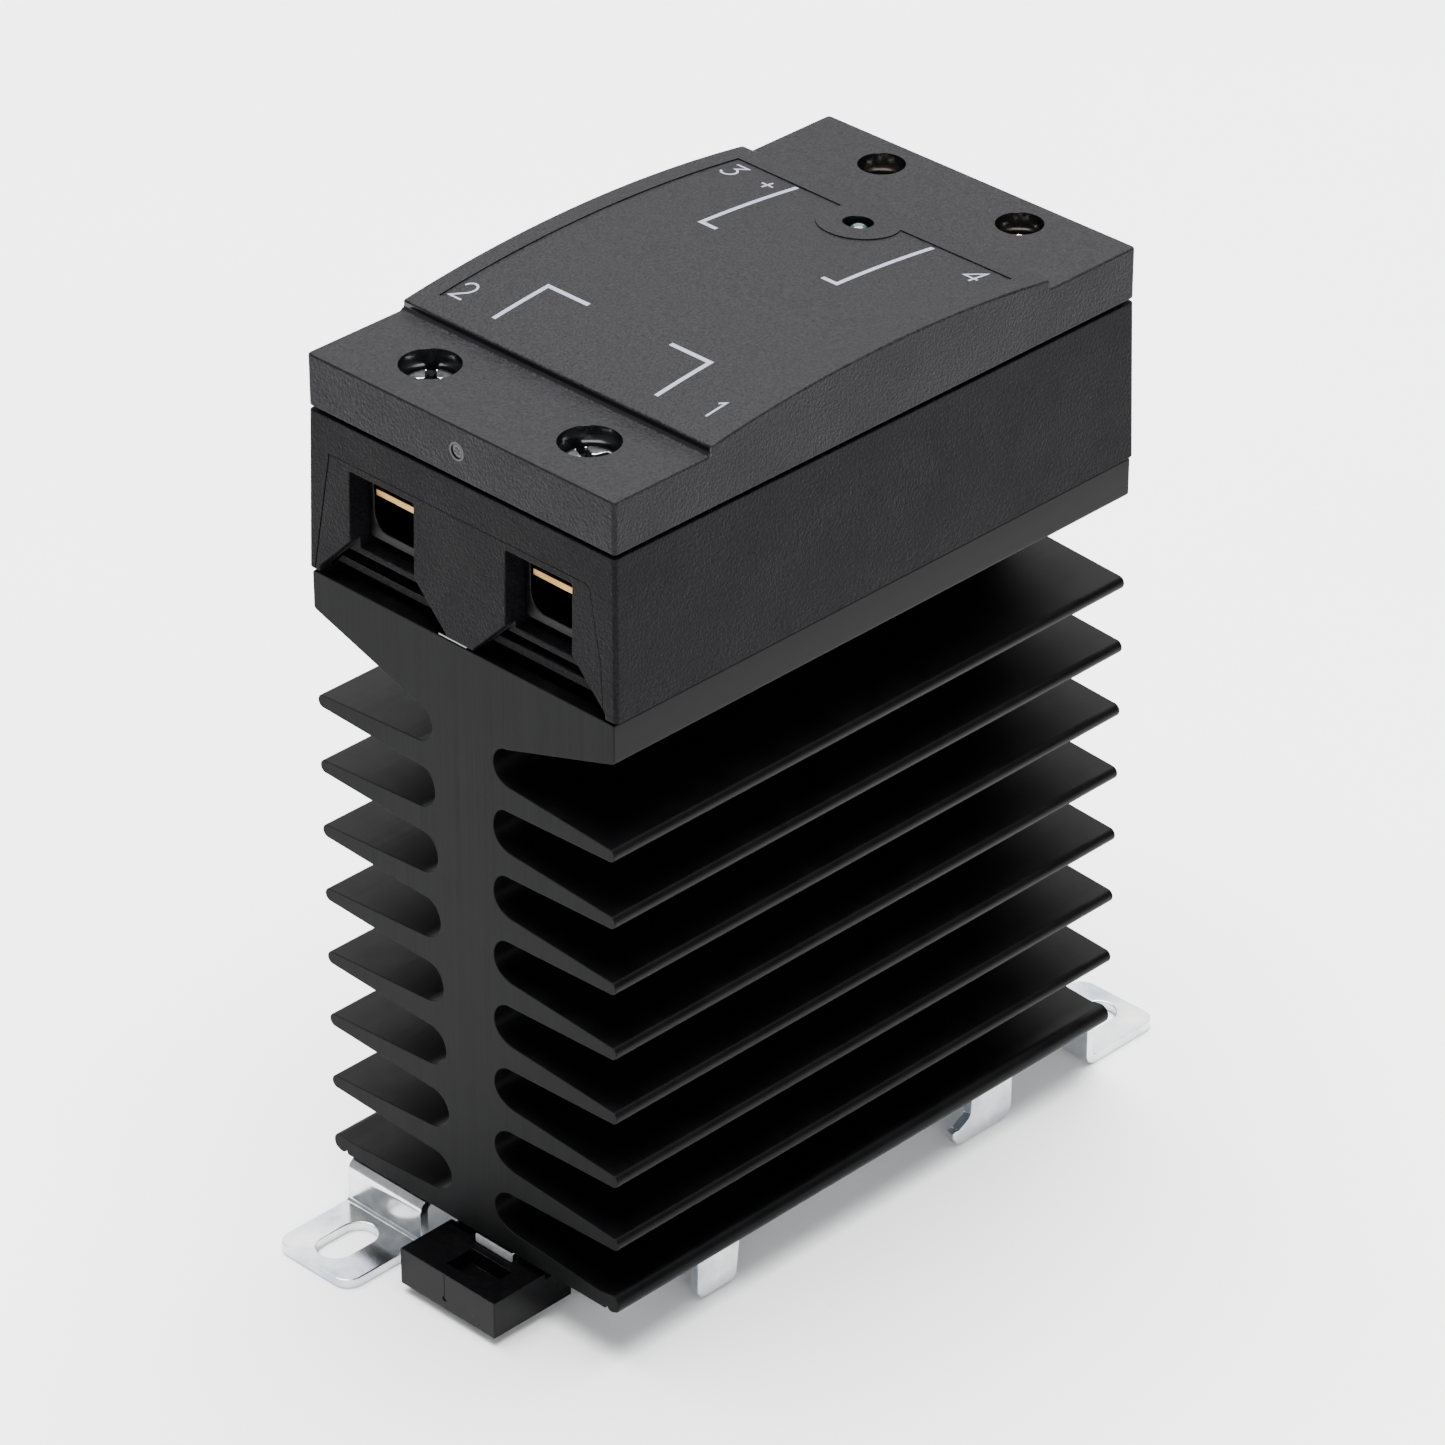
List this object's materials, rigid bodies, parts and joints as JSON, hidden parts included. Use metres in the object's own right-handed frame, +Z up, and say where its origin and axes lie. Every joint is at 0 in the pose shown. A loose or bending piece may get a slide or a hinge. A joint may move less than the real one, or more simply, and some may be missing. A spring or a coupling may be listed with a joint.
{
  "type": "solid state relay",
  "caption": "DIN-rail solid state relay: black moulded module on a finned heat sink, screw clamp terminals at both ends, steel rail bracket with a sprung latch.",
  "frame": {"origin": "on the surface that the bracket's feet stand on, under the middle of the module", "axes": "+Z up through the cover, -Y toward the output (load) terminals, X across the 45 mm module width"},
  "size_m": [0.0458, 0.1008, 0.1089],
  "materials": {
    "anodised_sink": "black anodised extrusion, satin",
    "housing_plastic": "black moulded plastic, fine spark-eroded grain",
    "cover_plastic": "black moulded plastic, fine spark-eroded grain",
    "latch_plastic": "black moulded plastic, smooth",
    "zinc_steel": "bright zinc plated sheet steel",
    "screw_steel": "bright zinc plated steel",
    "nickel_screw": "warm nickel plated",
    "cage_steel": "plated steel strip",
    "brass_blade": "bright brass",
    "copper_strap": "copper",
    "spreader_aluminium": "plain",
    "alumina": "white, unglazed",
    "silicon": "dark, glossy",
    "board": "green solder mask",
    "component_black": "moulded epoxy",
    "resistor_body": "lacquered",
    "film_capacitor": "dipped epoxy",
    "suppressor_body": "dipped epoxy",
    "lamp_lens": "translucent grey-green",
    "spring_steel": "drawn wire"
  },
  "bodies": {
    "relay": {"heatsink": "anodised_sink", "relay_housing": "housing_plastic", "top_cover": "cover_plastic", "heat_spreader": "spreader_aluminium", "ceramic_substrate": "alumina", "thyristor_left": "silicon", "thyristor_right": "silicon", "chip_strap_left": "copper_strap", "chip_strap_right": "copper_strap", "gate_pin_left": "copper_strap", "gate_pin_right": "copper_strap", "output_blade_left": "brass_blade", "output_blade_right": "brass_blade", "input_blade_left": "brass_blade", "input_blade_right": "brass_blade", "circuit_board": "board", "optocoupler": "component_black", "current_regulator": "component_black", "input_resistor": "resistor_body", "gate_resistor": "resistor_body", "snubber_resistor": "resistor_body", "snubber_capacitor": "film_capacitor", "surge_suppressor": "suppressor_body", "status_led": "lamp_lens", "light_pipe": "lamp_lens", "housing_screw_front": "screw_steel", "housing_screw_rear": "screw_steel", "din_bracket": "zinc_steel", "bracket_screw_front": "screw_steel", "bracket_screw_rear": "screw_steel", "latch_spring": "spring_steel"},
    "output_screw_left": {"output_screw_left": "screw_steel"},
    "output_screw_right": {"output_screw_right": "screw_steel"},
    "input_screw_left": {"input_screw_left": "nickel_screw"},
    "input_screw_right": {"input_screw_right": "nickel_screw"},
    "output_cage_left": {"output_cage_left": "cage_steel"},
    "output_cage_right": {"output_cage_right": "cage_steel"},
    "input_cage_left": {"input_cage_left": "cage_steel"},
    "input_cage_right": {"input_cage_right": "cage_steel"},
    "din_latch": {"din_latch": "latch_plastic"}
  },
  "joints": [
    {"name": "output_screw_left_turn", "type": "hinge", "parent": "relay", "child": "output_screw_left", "pos_m": [-0.01165, -0.0315, 0.1016], "axis": [0, 0, -1], "range_deg": [0, 1700]},
    {"name": "output_cage_left_lift", "type": "slide", "parent": "relay", "child": "output_cage_left", "axis": [0, 0, 1], "range_m": [0, 0.0033]},
    {"name": "input_screw_left_turn", "type": "hinge", "parent": "relay", "child": "input_screw_left", "pos_m": [-0.0101, 0.03405, 0.1019], "axis": [0, 0, -1], "range_deg": [0, 1875]},
    {"name": "input_cage_left_lift", "type": "slide", "parent": "relay", "child": "input_cage_left", "axis": [0, 0, 1], "range_m": [0, 0.0026]},
    {"name": "output_screw_right_turn", "type": "hinge", "parent": "relay", "child": "output_screw_right", "pos_m": [0.01165, -0.0315, 0.1016], "axis": [0, 0, -1], "range_deg": [0, 1700]},
    {"name": "output_cage_right_lift", "type": "slide", "parent": "relay", "child": "output_cage_right", "axis": [0, 0, 1], "range_m": [0, 0.0033]},
    {"name": "input_screw_right_turn", "type": "hinge", "parent": "relay", "child": "input_screw_right", "pos_m": [0.0101, 0.03405, 0.1019], "axis": [0, 0, -1], "range_deg": [0, 1875]},
    {"name": "input_cage_right_lift", "type": "slide", "parent": "relay", "child": "input_cage_right", "axis": [0, 0, 1], "range_m": [0, 0.0026]},
    {"name": "din_latch_slide", "type": "slide", "parent": "relay", "child": "din_latch", "axis": [0, -1, 0], "range_m": [0, 0.0035], "stiffness_N_per_m": 400, "springref_m": -0.004, "deforming": ["latch_spring"]}
  ],
  "couplings": [
    {"joint": "output_screw_left_turn", "follows": "output_cage_left_lift", "rad_per_m": 8976},
    {"joint": "input_screw_left_turn", "follows": "input_cage_left_lift", "rad_per_m": 12566},
    {"joint": "output_screw_right_turn", "follows": "output_cage_right_lift", "rad_per_m": 8976},
    {"joint": "input_screw_right_turn", "follows": "input_cage_right_lift", "rad_per_m": 12566}
  ]
}
